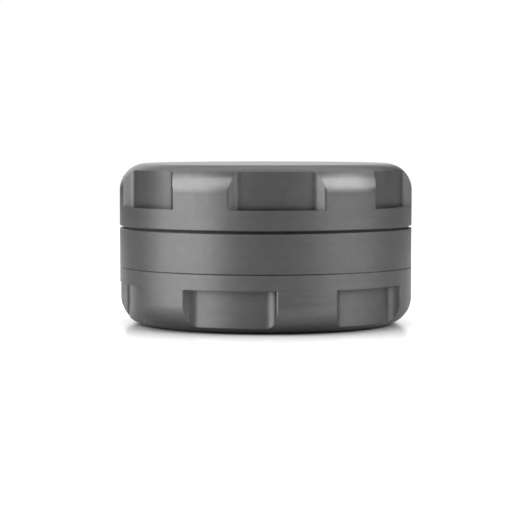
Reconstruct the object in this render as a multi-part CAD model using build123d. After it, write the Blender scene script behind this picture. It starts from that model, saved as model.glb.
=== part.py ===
from build123d import *
from math import asin, cos, degrees, pi, radians, sin
import os

# Hand-held two-stage grinder turned from aluminium: a notched lid with hanging
# teeth, a grinding plate with standing teeth and drop-through holes, and a
# notched base cup that screws onto the plate. Millimetres, +Z up, origin at the
# centre of the underside.

# ---------------------------------------------------------------- dimensions
# outer envelope
R_OUT = 31.50          # outer radius of all three shells
H_TOTAL = 34.50        # overall height, closed
R_CORNER = 5.75        # round on the lid's top edge and on the base's bottom edge
EDGE = 0.14            # edge break on the rims that meet at a seam

# heights of the seams
Z_BASE_TOP = 12.34     # rim of the base cup, where the plate's shoulder sits
Z_RING_TOP = 20.66     # upper shoulder of the plate
Z_LID_BOTTOM = 21.18   # rim of the lid; the glide ring fills the gap
GLIDE_GAP = 0.02       # free space above and below the glide ring

# finger notches, milled round the circumference
NOTCH_COUNT = 6
NOTCH_HALF_ANGLE = 19.0    # degrees, from a notch's middle to its end wall
NOTCH_DEPTH = 2.05
NOTCH_BROW_PROUD = 0.012   # how far the brow of an end wall would stand out of the body
# end walls: slope in degrees from the surface they leave, convex brow radius, concave root radius
LID_NOTCH_WALL = (56.0, 0.75, 1.90)
BASE_NOTCH_WALL = (70.0, 0.60, 2.40)
Z_LID_LEDGE = 25.36        # lid notches are open above this height
Z_BASE_LEDGE = 9.05        # base notches are open below this height
BASE_NOTCH_PHASE = -90.0   # middle of one base notch, degrees from +X
LID_TURN = 18.4            # how far the closed lid stands turned from the base

# lid
LID_ROOF_T = 3.20          # thickness of the roof
R_CHAMBER = 26.20          # grinding chamber
R_LID_BORE = 28.50         # counterbore that slips over the plate's collar
Z_LID_BORE_TOP = 24.80
RIM_CHAMFER = 0.30

# grinding plate
R_COLLAR = 28.42           # collar that the lid turns on: 0.08 running clearance
Z_COLLAR_TOP = 24.50
Z_PLATE_FLOOR = 18.60      # upper face of the tooth plate
PLATE_T = 3.00
R_SKIRT_IN = 25.40
Z_SKIRT_BOTTOM = 6.00

# coarse right-hand thread between plate and base
LEAD = 2.50
R_MALE_ROOT = 27.25
R_MALE_CREST = 28.12
R_FEMALE_ROOT = 28.30
R_FEMALE_CREST = 27.43
RIDGE_CREST_W = 0.95
RIDGE_ROOT_W = 1.25
Z_MALE_START = 6.90        # middle of the male ridge at 0 degrees
Z_MALE_END = 10.70
Z_FEMALE_END = 10.70
FEMALE_START_DEG = -200.0
RIDGE_BITE = 0.20          # how far a ridge's foot goes into its wall

# base cup
BASE_FLOOR_T = 2.60
R_CUP = 26.20
R_CUP_FILLET = 2.60
Z_CUP_LEDGE = 5.70

# thread seal, an O-ring in the neck above the male thread
SEAL_MID_R = 27.77
SEAL_SECTION_R = 0.40
Z_SEAL = 11.86
R_SEAL_NECK = 27.25

# glide ring
R_GLIDE_OUT = 30.60
R_GLIDE_IN = 28.50

# hub and magnets
R_HUB = 5.60
Z_HUB_TOP = 20.60          # plate's hub
Z_HUB_BOTTOM = 21.00       # lid's hub
R_MAGNET = 4.00
T_LID_MAGNET = 3.00
T_PLATE_MAGNET = 2.00
MAGNET_FIT = 0.02

# diamond teeth: half width across the ring and half length along it
TOOTH_HALF_W = 1.30
TOOTH_HALF_L = 2.35
TOOTH_TIP = 0.55           # chamfered tip
TOOTH_CLEAR = 0.70         # tip to the opposite face
LID_TOOTH_RINGS = ((15.30, 8, 11.0), (21.90, 12, 4.0))
PLATE_TOOTH_RINGS = ((12.00, 6, 14.0), (18.60, 10, 3.0))

# drop-through holes in the tooth plate: ring radius, count, start angle
R_HOLE = 1.70
HOLE_RINGS = ((8.70, 8, 22.5), (15.30, 16, 0.0), (21.90, 24, 7.5))

os.makedirs("parts", exist_ok=True)


# ------------------------------------------------------------------- helpers
def polar(radius, angle):
    return (radius * cos(radians(angle)), radius * sin(radians(angle)))


def turned(*runs):
    """A body of revolution about Z from lines and arcs in the XZ plane."""
    edges = []
    for run in runs:
        if len(run) == 2:
            edges.append(Edge.make_line(*[Vector(r, 0, z) for r, z in run]))
        else:
            edges.append(
                Edge.make_three_point_arc(*[Vector(r, 0, z) for r, z in run])
            )
    face = Face(Wire(edges))
    return Solid.revolve(face, 360, Axis.Z)


def outline(points):
    """Runs from a list of (r, z) points. A point (r, z, rm, zm) is reached by an arc through (rm, zm)."""
    runs = []
    for a, b in zip(points, points[1:] + points[:1]):
        if len(b) == 2:
            runs.append(((a[0], a[1]), (b[0], b[1])))
        else:
            runs.append(((a[0], a[1]), (b[2], b[3]), (b[0], b[1])))
    return runs


def round_mid(cr, cz, radius, angle):
    return (cr + radius * cos(radians(angle)), cz + radius * sin(radians(angle)))


def notch_cutter(middle, z_low, z_high, wall):
    """The prism that mills one finger notch: a floor concentric with the body and sloping end walls, each with a rounded
    brow where it leaves the outside and a concave root where it meets the floor."""
    r_floor = R_OUT - NOTCH_DEPTH
    slope, brow_r, root_r = wall
    beta = radians(slope)

    def flank(side):
        """Points of one end wall, from clear of the body down to its tangent point on the floor."""
        ang = middle + side * NOTCH_HALF_ANGLE
        out = Vector(*polar(1.0, ang))
        back = Vector(*polar(1.0, ang - side * 90.0))  # from the wall towards the notch's middle
        # the brow stands a hair proud of the outside, so it crosses it at a shallow angle instead of touching it
        brow_axis = out * (R_OUT + NOTCH_BROW_PROUD - brow_r)
        normal = back * sin(beta) + out * cos(beta)  # away from the metal
        half = back * sin(beta / 2) + out * cos(beta / 2)
        down = back * cos(beta) - out * sin(beta)
        crown = brow_axis + out * brow_r
        brow_mid = brow_axis + half * brow_r
        brow_end = brow_axis + normal * brow_r
        # centre of the root round: its radius off the wall and off the floor
        r_axis = r_floor + root_r
        start = brow_end + normal * root_r
        bq = start.dot(down)
        t = -bq - (bq * bq - (start.dot(start) - r_axis * r_axis)) ** 0.5
        axis = start + down * t
        on_wall = axis - normal * root_r
        on_floor = axis * (r_floor / r_axis)
        lean = (on_wall - axis).normalized() + (on_floor - axis).normalized()
        between = axis + lean.normalized() * root_r
        clear = out * (R_OUT + 4.0)
        return clear, crown, brow_mid, brow_end, on_wall, between, on_floor

    c1, k1, b1, e1, w1, m1, f1 = flank(-1)
    c2, k2, b2, e2, w2, m2, f2 = flank(1)
    edges = [
        Edge.make_line(c1, k1),
        Edge.make_three_point_arc(k1, b1, e1),
        Edge.make_line(e1, w1),
        Edge.make_three_point_arc(w1, m1, f1),
        Edge.make_three_point_arc(f1, Vector(*polar(r_floor, middle)), f2),
        Edge.make_three_point_arc(f2, m2, w2),
        Edge.make_line(w2, e2),
        Edge.make_three_point_arc(e2, b2, k2),
        Edge.make_line(k2, c2),
        Edge.make_three_point_arc(c2, Vector(*polar(R_OUT + 5.0, middle)), c1),
    ]
    face = Pos(0, 0, z_low) * Face(Wire(edges))
    return extrude(face, amount=z_high - z_low, dir=(0, 0, 1))


def ridge(r_foot, r_crest, z_start, z_end, start_deg):
    """One helical thread ridge of trapezoidal section."""
    helix = Edge.make_helix(LEAD, z_end - z_start, r_crest)
    inward = 1 if r_crest < r_foot else -1
    foot = r_foot + inward * RIDGE_BITE
    slope = (RIDGE_ROOT_W - RIDGE_CREST_W) / 2 / abs(r_crest - r_foot)
    half_foot = RIDGE_ROOT_W / 2 + slope * RIDGE_BITE
    half_crest = RIDGE_CREST_W / 2
    section = Face(
        Wire.make_polygon(
            [
                Vector(foot, 0, -half_foot),
                Vector(r_crest, 0, -half_crest),
                Vector(r_crest, 0, half_crest),
                Vector(foot, 0, half_foot),
            ],
            close=True,
        )
    )
    solid = Solid.sweep(section, path=Wire([helix]), is_frenet=True)
    return Pos(0, 0, z_start) * Rot(0, 0, start_deg) * solid


def tooth(ring_r, angle, z_root, z_tip):
    """One diamond tooth, its long diagonal along the ring, with a chamfered tip."""
    up = 1 if z_tip > z_root else -1
    body = abs(z_tip - z_root) - TOOTH_TIP

    def diamond(k, z):
        pts = [
            Vector(TOOTH_HALF_W - k * 0.62, 0, 0),
            Vector(0, TOOTH_HALF_L - k * 1.12, 0),
            Vector(-TOOTH_HALF_W + k * 0.62, 0, 0),
            Vector(0, -TOOTH_HALF_L + k * 1.12, 0),
        ]
        return Pos(0, 0, z) * Face(Wire.make_polygon(pts, close=True))

    root = diamond(0, z_root - up * 0.25)
    shaft = extrude(root, amount=body + 0.25, dir=(0, 0, up))
    tip = Solid.make_loft(
        [
            diamond(0, z_root + up * body).outer_wire(),
            diamond(TOOTH_TIP, z_tip).outer_wire(),
        ],
        True,
    )
    return Rot(0, 0, angle) * Pos(ring_r, 0, 0) * (shaft + tip)


def one_solid(shape):
    solids = shape.solids()
    assert len(solids) == 1, len(solids)
    return solids[0]


# ------------------------------------------------------------------ base cup
def make_base():
    c = R_CORNER
    mid = round_mid(R_OUT - c, c, c, -45)
    f = R_CUP_FILLET
    fmid = round_mid(R_CUP - f, BASE_FLOOR_T + f, f, -45)
    body = turned(
        *outline(
            [
                (0, 0),
                (R_OUT - c, 0),
                (R_OUT, c, *mid),
                (R_OUT, Z_BASE_TOP - EDGE),
                (R_OUT - EDGE, Z_BASE_TOP),
                (R_FEMALE_ROOT + 0.35, Z_BASE_TOP),
                (R_FEMALE_ROOT, Z_BASE_TOP - 0.35),
                (R_FEMALE_ROOT, Z_CUP_LEDGE),
                (R_CUP, Z_CUP_LEDGE),
                (R_CUP, BASE_FLOOR_T + f),
                (R_CUP - f, BASE_FLOOR_T, *fmid),
                (0, BASE_FLOOR_T),
            ]
        )
    )
    for i in range(NOTCH_COUNT):
        body = body - notch_cutter(
            BASE_NOTCH_PHASE + i * 360 / NOTCH_COUNT, -1.0, Z_BASE_LEDGE, BASE_NOTCH_WALL
        )
    z_start = Z_MALE_START + LEAD / 2 + LEAD * FEMALE_START_DEG / 360
    body = body + ridge(
        R_FEMALE_ROOT, R_FEMALE_CREST, z_start, Z_FEMALE_END, FEMALE_START_DEG
    )
    return one_solid(body)


# ------------------------------------------------------------ grinding plate
def make_plate():
    z_under = Z_PLATE_FLOOR - PLATE_T
    body = turned(
        *outline(
            [
                (0, z_under),
                (R_SKIRT_IN - 1.5, z_under),
                (R_SKIRT_IN, z_under - 1.5, *round_mid(R_SKIRT_IN - 1.5, z_under - 1.5, 1.5, 45)),
                (R_SKIRT_IN, Z_SKIRT_BOTTOM + 0.3),
                (R_SKIRT_IN + 0.3, Z_SKIRT_BOTTOM),
                (R_MALE_ROOT - 0.4, Z_SKIRT_BOTTOM),
                (R_MALE_ROOT, Z_SKIRT_BOTTOM + 0.4),
                (R_MALE_ROOT, Z_BASE_TOP),
                (R_OUT - EDGE, Z_BASE_TOP),
                (R_OUT, Z_BASE_TOP + EDGE),
                (R_OUT, Z_RING_TOP - EDGE),
                (R_OUT - EDGE, Z_RING_TOP),
                (R_COLLAR, Z_RING_TOP),
                (R_COLLAR, Z_COLLAR_TOP - RIM_CHAMFER),
                (R_COLLAR - RIM_CHAMFER, Z_COLLAR_TOP),
                (R_CHAMBER + RIM_CHAMFER, Z_COLLAR_TOP),
                (R_CHAMBER, Z_COLLAR_TOP - RIM_CHAMFER),
                (R_CHAMBER, Z_PLATE_FLOOR + 0.8),
                (R_CHAMBER - 0.8, Z_PLATE_FLOOR, *round_mid(R_CHAMBER - 0.8, Z_PLATE_FLOOR + 0.8, 0.8, -45)),
                (R_HUB, Z_PLATE_FLOOR),
                (R_HUB, Z_HUB_TOP - 0.25),
                (R_HUB - 0.25, Z_HUB_TOP),
                (R_MAGNET, Z_HUB_TOP),
                (R_MAGNET, Z_HUB_TOP - T_PLATE_MAGNET),
                (0, Z_HUB_TOP - T_PLATE_MAGNET),
            ]
        )
    )
    for ring_r, count, start in HOLE_RINGS:
        for i in range(count):
            x, y = polar(ring_r, start + i * 360 / count)
            body = body - Pos(x, y, z_under + PLATE_T / 2) * Cylinder(
                R_HOLE, PLATE_T + 2
            )
    for ring_r, count, start in PLATE_TOOTH_RINGS:
        for i in range(count):
            body = body + tooth(
                ring_r,
                start + i * 360 / count,
                Z_PLATE_FLOOR,
                H_TOTAL - LID_ROOF_T - TOOTH_CLEAR,
            )
    body = body + ridge(R_MALE_ROOT, R_MALE_CREST, Z_MALE_START, Z_MALE_END, 0.0)
    return one_solid(body)


# ----------------------------------------------------------------------- lid
def make_lid():
    c = R_CORNER
    mid = round_mid(R_OUT - c, H_TOTAL - c, c, 45)
    z_roof = H_TOTAL - LID_ROOF_T
    f = 1.0
    body = turned(
        *outline(
            [
                (0, z_roof - 0.0),
                (0, H_TOTAL),
                (R_OUT - c, H_TOTAL),
                (R_OUT, H_TOTAL - c, *mid),
                (R_OUT, Z_LID_BOTTOM + EDGE),
                (R_OUT - EDGE, Z_LID_BOTTOM),
                (R_LID_BORE + 0.3, Z_LID_BOTTOM),
                (R_LID_BORE, Z_LID_BOTTOM + 0.3),
                (R_LID_BORE, Z_LID_BORE_TOP),
                (R_CHAMBER, Z_LID_BORE_TOP),
                (R_CHAMBER, z_roof - f),
                (R_CHAMBER - f, z_roof, *round_mid(R_CHAMBER - f, z_roof - f, f, 45)),
            ]
        )
    )
    hub = turned(
        *outline(
            [
                (0, z_roof + 0.5),
                (R_HUB, z_roof + 0.5),
                (R_HUB, Z_HUB_BOTTOM + 0.25),
                (R_HUB - 0.25, Z_HUB_BOTTOM),
                (R_MAGNET, Z_HUB_BOTTOM),
                (R_MAGNET, Z_HUB_BOTTOM + T_LID_MAGNET),
                (0, Z_HUB_BOTTOM + T_LID_MAGNET),
            ]
        )
    )
    body = body + hub
    for i in range(NOTCH_COUNT):
        body = body - notch_cutter(
            BASE_NOTCH_PHASE + LID_TURN + i * 360 / NOTCH_COUNT,
            Z_LID_LEDGE,
            H_TOTAL + 1.0,
            LID_NOTCH_WALL,
        )
    for ring_r, count, start in LID_TOOTH_RINGS:
        for i in range(count):
            body = body + tooth(
                ring_r,
                LID_TURN + start + i * 360 / count,
                z_roof,
                Z_PLATE_FLOOR + TOOTH_CLEAR,
            )
    return one_solid(body)


parts = {
    "base_cup": make_base(),
    "grinding_plate": make_plate(),
    "lid": make_lid(),
}

# glide ring: polymer washer that the lid slides on
parts["glide_ring"] = turned(
    *outline(
        [
            (R_GLIDE_IN, Z_RING_TOP + GLIDE_GAP),
            (R_GLIDE_OUT, Z_RING_TOP + GLIDE_GAP),
            (R_GLIDE_OUT, Z_LID_BOTTOM - GLIDE_GAP),
            (R_GLIDE_IN, Z_LID_BOTTOM - GLIDE_GAP),
        ]
    )
)
# thread seal
parts["thread_seal"] = Pos(0, 0, Z_SEAL) * Solid.make_torus(SEAL_MID_R, SEAL_SECTION_R)


def magnet(z_low, z_high):
    r, b = R_MAGNET - MAGNET_FIT, 0.2
    return turned(
        *outline(
            [
                (0, z_low),
                (r - b, z_low),
                (r, z_low + b),
                (r, z_high - b),
                (r - b, z_high),
                (0, z_high),
            ]
        )
    )


parts["lid_magnet"] = magnet(
    Z_HUB_BOTTOM + MAGNET_FIT, Z_HUB_BOTTOM + T_LID_MAGNET - MAGNET_FIT
)
parts["plate_magnet"] = magnet(
    Z_HUB_TOP - T_PLATE_MAGNET + MAGNET_FIT, Z_HUB_TOP - MAGNET_FIT
)

for name, solid in parts.items():
    solid.label = name
    export_step(solid, f"parts/{name}.step")
    print(name, "valid", solid.is_valid, "volume", round(solid.volume, 1))
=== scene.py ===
import math

import bmesh
import bpy
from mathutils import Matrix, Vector

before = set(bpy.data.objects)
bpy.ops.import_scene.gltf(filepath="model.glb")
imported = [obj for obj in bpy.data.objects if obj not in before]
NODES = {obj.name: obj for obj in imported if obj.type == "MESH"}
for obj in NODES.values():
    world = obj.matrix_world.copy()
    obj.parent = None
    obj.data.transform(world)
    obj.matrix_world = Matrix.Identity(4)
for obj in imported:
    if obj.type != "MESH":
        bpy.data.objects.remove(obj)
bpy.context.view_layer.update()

MM = 0.001


# ---------------------------------------------------------------- node helpers
def new_material(name):
    m = bpy.data.materials.new(name)
    m.use_nodes = True
    m.node_tree.nodes.clear()
    return m


class Graph:
    """Small helper that adds nodes and links by name."""

    def __init__(self, tree):
        self.tree = tree

    def add(self, kind, **settings):
        node = self.tree.nodes.new(kind)
        for key, value in settings.items():
            setattr(node, key, value)
        return node

    def put(self, socket, value):
        if hasattr(value, "is_output") or isinstance(value, bpy.types.NodeSocket):
            self.tree.links.new(value, socket)
        else:
            socket.default_value = value

    def math(self, op, a, b=0.0, c=0.0, clamp=False):
        n = self.add("ShaderNodeMath", operation=op, use_clamp=clamp)
        for s, v in zip(n.inputs, (a, b, c)):
            self.put(s, v)
        return n.outputs[0]

    def vmath(self, op, a, b=(0, 0, 0), scale=1.0):
        n = self.add("ShaderNodeVectorMath", operation=op)
        self.put(n.inputs[0], a)
        if op == "SCALE":
            self.put(n.inputs["Scale"], scale)
        else:
            self.put(n.inputs[1], b)
        return n.outputs["Value"] if op in ("LENGTH", "DOT_PRODUCT", "DISTANCE") else n.outputs["Vector"]

    def noise(self, vector, scale, detail=2.0, rough=0.5, dims="3D"):
        n = self.add("ShaderNodeTexNoise", noise_dimensions=dims)
        self.put(n.inputs["Vector"], vector)
        n.inputs["Scale"].default_value = scale
        n.inputs["Detail"].default_value = detail
        n.inputs["Roughness"].default_value = rough
        return n.outputs[0]

    def remap(self, value, a, b, c, d, smooth=False):
        n = self.add("ShaderNodeMapRange")
        if smooth:
            n.interpolation_type = "SMOOTHSTEP"
        self.put(n.inputs[0], value)
        for i, v in enumerate((a, b, c, d)):
            self.put(n.inputs[i + 1], v)
        return n.outputs[0]

    def mix(self, factor, a, b, blend="MIX"):
        n = self.add("ShaderNodeMix", data_type="RGBA", blend_type=blend)
        self.put(n.inputs[0], factor)
        self.put(n.inputs[6], a)
        self.put(n.inputs[7], b)
        return n.outputs[2]

    def bump(self, height, strength, distance, normal=None):
        n = self.add("ShaderNodeBump")
        n.inputs["Strength"].default_value = strength
        n.inputs["Distance"].default_value = distance
        self.put(n.inputs["Height"], height)
        if normal is not None:
            self.put(n.inputs["Normal"], normal)
        return n.outputs["Normal"]


def lathe_coordinates(g):
    """Object position in millimetres, its radius from the axis, its height and its angle round the axis."""
    tc = g.add("ShaderNodeTexCoord")
    p = g.vmath("SCALE", tc.outputs["Object"], scale=1000.0)
    xyz = g.add("ShaderNodeSeparateXYZ")
    g.put(xyz.inputs[0], p)
    flat = g.add("ShaderNodeCombineXYZ")
    g.put(flat.inputs[0], xyz.outputs[0])
    g.put(flat.inputs[1], xyz.outputs[1])
    r = g.vmath("LENGTH", flat.outputs[0])
    angle = g.math("ARCTAN2", xyz.outputs[1], xyz.outputs[0])
    return p, r, xyz.outputs[2], angle


def anodised(name, colour, seed):
    """Grey satin anodised aluminium: turned on a lathe, then finely blasted."""
    m = new_material(name)
    g = Graph(m.node_tree)
    out = g.add("ShaderNodeOutputMaterial")
    bsdf = g.add("ShaderNodeBsdfPrincipled")
    g.put(out.inputs[0], bsdf.outputs[0])
    p, r, z, angle = lathe_coordinates(g)

    turned = g.add("ShaderNodeCombineXYZ")
    g.put(turned.inputs[0], g.math("ADD", r, seed))
    g.put(turned.inputs[1], z)
    g.put(turned.inputs[2], g.math("MULTIPLY", g.math("SINE", angle), 0.35))
    lines = g.noise(turned.outputs[0], 9.0, 3.0, 0.6)
    broad = g.noise(turned.outputs[0], 1.6, 2.0, 0.5)
    grain = g.noise(p, 7.5, 3.0, 0.6)
    mottle = g.noise(p, 0.55, 3.0, 0.55)

    fine = g.math("ADD", g.math("MULTIPLY", lines, 0.35), g.math("MULTIPLY", grain, 0.35))
    shade = g.math("ADD", fine, g.math("MULTIPLY", broad, 0.30))
    shade = g.remap(shade, 0.3, 0.7, 0.0, 1.0)
    dark = tuple(c * 0.90 for c in colour) + (1.0,)
    light = tuple(c * 1.10 for c in colour) + (1.0,)
    base = g.mix(shade, dark, light)
    cloud = g.remap(mottle, 0.35, 0.65, 0.965, 1.035)
    base_c = g.vmath("SCALE", base, scale=1.0)
    scale_node = base_c.node
    # painted shade: an ambient-occlusion mask darkens the base colour in inner corners, notch roots and recesses
    corner = g.add("ShaderNodeAmbientOcclusion", samples=6, only_local=True)
    corner.inputs["Distance"].default_value = 0.0045
    painted_corner_shade = g.remap(corner.outputs["AO"], 0.25, 0.88, 0.55, 1.0)  # inner corners stay a little darker
    g.put(scale_node.inputs["Scale"], g.math("MULTIPLY", cloud, painted_corner_shade))
    g.put(bsdf.inputs["Base Color"], base_c)

    bsdf.inputs["Metallic"].default_value = 1.0
    rough = g.remap(g.math("ADD", g.math("MULTIPLY", grain, 0.6), g.math("MULTIPLY", broad, 0.4)), 0.3, 0.7, 0.37, 0.44)
    g.put(bsdf.inputs["Roughness"], rough)
    n1 = g.bump(lines, 0.22, 0.00003)
    n2 = g.bump(grain, 0.22, 0.00003, n1)
    g.put(bsdf.inputs["Normal"], n2)
    return m


def polymer(name, colour, roughness):
    m = new_material(name)
    g = Graph(m.node_tree)
    out = g.add("ShaderNodeOutputMaterial")
    bsdf = g.add("ShaderNodeBsdfPrincipled")
    g.put(out.inputs[0], bsdf.outputs[0])
    p, r, z, angle = lathe_coordinates(g)
    grain = g.noise(p, 5.0, 3.0, 0.6)
    fine = g.noise(p, 22.0, 2.0, 0.5)
    base = g.mix(
        g.remap(grain, 0.35, 0.65, 0.0, 1.0),
        tuple(c * 0.8 for c in colour) + (1.0,),
        tuple(min(1.0, c * 1.35) for c in colour) + (1.0,),
    )
    g.put(bsdf.inputs["Base Color"], base)
    g.put(bsdf.inputs["Roughness"], g.remap(fine, 0.3, 0.7, roughness - 0.06, roughness + 0.08))
    g.put(bsdf.inputs["Normal"], g.bump(fine, 0.25, 0.00004))
    return m


def nickel(name):
    m = new_material(name)
    g = Graph(m.node_tree)
    out = g.add("ShaderNodeOutputMaterial")
    bsdf = g.add("ShaderNodeBsdfPrincipled")
    g.put(out.inputs[0], bsdf.outputs[0])
    p, r, z, angle = lathe_coordinates(g)
    smear = g.noise(p, 0.9, 4.0, 0.6)
    scratch_v = g.vmath("MULTIPLY", p, (14.0, 0.8, 0.8))
    scratch = g.noise(scratch_v, 1.2, 2.0, 0.5)
    base = g.mix(g.remap(smear, 0.35, 0.65, 0.0, 1.0), (0.66, 0.645, 0.615, 1), (0.72, 0.705, 0.675, 1))
    g.put(bsdf.inputs["Base Color"], base)
    bsdf.inputs["Metallic"].default_value = 1.0
    g.put(bsdf.inputs["Roughness"], g.remap(g.math("ADD", smear, scratch), 0.7, 1.3, 0.19, 0.26))
    g.put(bsdf.inputs["Normal"], g.bump(scratch, 0.05, 0.00001))
    return m


def assign(node, material):
    o = NODES[node]
    o.data.materials.clear()
    o.data.materials.append(material)
    return o


def smooth_by_angle():
    """Welds the face seams of a solid and shades it smooth, except over edges sharper than 26 degrees."""
    tree = bpy.data.node_groups.new("weld_and_smooth", "GeometryNodeTree")
    tree.interface.new_socket("Geometry", in_out="INPUT", socket_type="NodeSocketGeometry")
    tree.interface.new_socket("Geometry", in_out="OUTPUT", socket_type="NodeSocketGeometry")
    g = Graph(tree)
    start, end = g.add("NodeGroupInput"), g.add("NodeGroupOutput")
    drop = g.add("GeometryNodeRemoveAttribute")
    drop.inputs["Name"].default_value = "custom_normal"
    g.put(drop.inputs[0], start.outputs[0])
    weld = g.add("GeometryNodeMergeByDistance")
    weld.inputs["Distance"].default_value = 1e-6
    g.put(weld.inputs[0], drop.outputs[0])
    faces = g.add("GeometryNodeSetShadeSmooth", domain="FACE")
    g.put(faces.inputs[0], weld.outputs[0])
    edges = g.add("GeometryNodeSetShadeSmooth", domain="EDGE")
    angle = g.add("GeometryNodeInputMeshEdgeAngle")
    compare = g.math("LESS_THAN", angle.outputs[0], math.radians(26))
    g.put(edges.inputs[0], faces.outputs[0])
    g.put(edges.inputs["Shade Smooth"], compare)
    g.put(end.inputs[0], edges.outputs[0])
    return tree


SMOOTH = smooth_by_angle()
for node_name in list(NODES):
    o = NODES[node_name]
    modifier = o.modifiers.new("weld_and_smooth", "NODES")
    modifier.node_group = SMOOTH
    weighted = o.modifiers.new("weighted_normals", "WEIGHTED_NORMAL")
    weighted.keep_sharp = True
    weighted.weight = 50


GREY = (0.0975, 0.0972, 0.0970)
assign("lid", anodised("lid_anodised", GREY, 0.0))
assign("grinding_plate", anodised("plate_anodised", GREY, 13.0))
assign("base_cup", anodised("base_anodised", GREY, 29.0))
assign("glide_ring", polymer("glide_polymer", (0.006, 0.006, 0.007), 0.58))
assign("thread_seal", polymer("seal_rubber", (0.02, 0.02, 0.02), 0.55))
assign("lid_magnet", nickel("lid_magnet_nickel"))
assign("plate_magnet", nickel("plate_magnet_nickel"))

# ------------------------------------------------------------------ the stage
CAM_AZ = math.radians(14.0)
CAM_D, CAM_H = 444.96 * MM, 41.09 * MM


def around(azimuth_deg, distance, height):
    """A point round the object. Azimuth 0 is the camera's side, positive to the camera's right."""
    a = CAM_AZ + math.radians(azimuth_deg)
    return Vector((distance * math.sin(a), -distance * math.cos(a), height))


def aim(o, target):
    o.rotation_euler = (Vector(target) - o.location).to_track_quat("-Z", "Y").to_euler()


def softbox(name, azimuth, elevation, distance, width, height, radiance, colour=(1, 1, 1)):
    data = bpy.data.lights.new(name, "AREA")
    data.shape = "RECTANGLE"
    data.size, data.size_y = width, height
    data.color = colour
    data.energy = radiance * width * height * math.pi
    o = bpy.data.objects.new(name, data)
    bpy.context.scene.collection.objects.link(o)
    e = math.radians(elevation)
    o.location = around(azimuth, distance * math.cos(e), 0.017 + distance * math.sin(e))
    aim(o, (0, 0, 0.017))
    o.visible_camera = False
    return o


GAIN = 1.35  # high key: the pale floor burns out to white, as in a product shot

# two large softboxes to the left and right of the camera and a dimmer one high up behind the grinder
softbox("soft_left", -66, 31, 0.9, 1.04, 1.00, 4.40 * GAIN)
softbox("soft_right", 69, 34, 0.9, 0.84, 0.78, 5.20 * GAIN)
softbox("soft_back_top", 180, 62, 0.95, 1.50, 0.75, 1.3 * GAIN)
softbox("soft_back_low", 190, 15, 1.20, 0.90, 0.50, 1.2 * GAIN)

# white studio backdrop: seen by the camera only, it lights nothing
dome_mesh = bpy.data.meshes.new("backdrop")
bm = bmesh.new()
bmesh.ops.create_uvsphere(bm, u_segments=48, v_segments=24, radius=2.2)
bm.to_mesh(dome_mesh)
bm.free()
dome = bpy.data.objects.new("backdrop", dome_mesh)
bpy.context.scene.collection.objects.link(dome)
dm = new_material("backdrop_white")
g = Graph(dm.node_tree)
do = g.add("ShaderNodeOutputMaterial")
de = g.add("ShaderNodeEmission")
de.inputs[0].default_value = (1, 1, 1, 1)
de.inputs[1].default_value = 1.0
g.put(do.inputs[0], de.outputs[0])
dome_mesh.materials.append(dm)
for kind in ("diffuse", "glossy", "transmission", "volume_scatter", "shadow"):
    setattr(dome, "visible_" + kind, False)

floor_mesh = bpy.data.meshes.new("floor")
S = 0.7
floor_mesh.from_pydata([(-S, -S, 0), (S, -S, 0), (S, S, 0), (-S, S, 0)], [], [(0, 1, 2, 3)])
floor = bpy.data.objects.new("floor", floor_mesh)
bpy.context.scene.collection.objects.link(floor)
floor.location.z = -0.00002
fm = new_material("floor_pale")
g = Graph(fm.node_tree)
o_ = g.add("ShaderNodeOutputMaterial")
b_ = g.add("ShaderNodeBsdfPrincipled")
b_.inputs["Base Color"].default_value = (0.76, 0.76, 0.76, 1)
b_.inputs["Roughness"].default_value = 0.24
b_.inputs["Specular IOR Level"].default_value = 0.32
# painted shadow: an ambient-occlusion mask darkens the floor's base colour round the grinder, a painted contact shadow
# added to the rendered one
near = g.add("ShaderNodeAmbientOcclusion", samples=8)
near.inputs["Distance"].default_value = 0.06
painted_contact_shadow = g.remap(near.outputs["AO"], 0.40, 0.93, 0.40, 0.86)
shade_floor = g.add("ShaderNodeCombineColor")
for channel in range(3):
    g.put(shade_floor.inputs[channel], painted_contact_shadow)
g.put(b_.inputs["Base Color"], shade_floor.outputs[0])
tcf = g.add("ShaderNodeTexCoord")
far = g.vmath("LENGTH", tcf.outputs["Object"])
clear = g.add("ShaderNodeBsdfTransparent")
fade = g.add("ShaderNodeMixShader")
g.put(fade.inputs[0], g.remap(far, 0.22, 0.62, 0.0, 1.0, smooth=True))
g.put(fade.inputs[1], b_.outputs[0])
g.put(fade.inputs[2], clear.outputs[0])
g.put(o_.inputs[0], fade.outputs[0])
floor_mesh.materials.append(fm)

world = bpy.data.worlds.new("studio")
bpy.context.scene.world = world
world.use_nodes = True
wt = world.node_tree
wt.nodes.clear()
wo = wt.nodes.new("ShaderNodeOutputWorld")
wb = wt.nodes.new("ShaderNodeBackground")
wb.inputs[0].default_value = (1, 1, 1, 1)
wb.inputs[1].default_value = 0.095 * GAIN
wt.links.new(wb.outputs[0], wo.inputs[0])

bpy.context.scene.view_settings.view_transform = "Standard"
bpy.context.scene.view_settings.look = "None"

cam_data = bpy.data.cameras.new("camera")
cam_data.sensor_width = 36.0
cam_data.lens = 2056.43 / 512 * 36.0
cam_data.clip_start = 0.01
cam_data.clip_end = 50.0
cam = bpy.data.objects.new("camera", cam_data)
bpy.context.scene.collection.objects.link(cam)
cam.location = around(0, CAM_D, CAM_H)
cam.rotation_euler = (math.radians(90 - 3.437), 0.0, CAM_AZ + math.radians(0.269))
bpy.context.scene.camera = cam
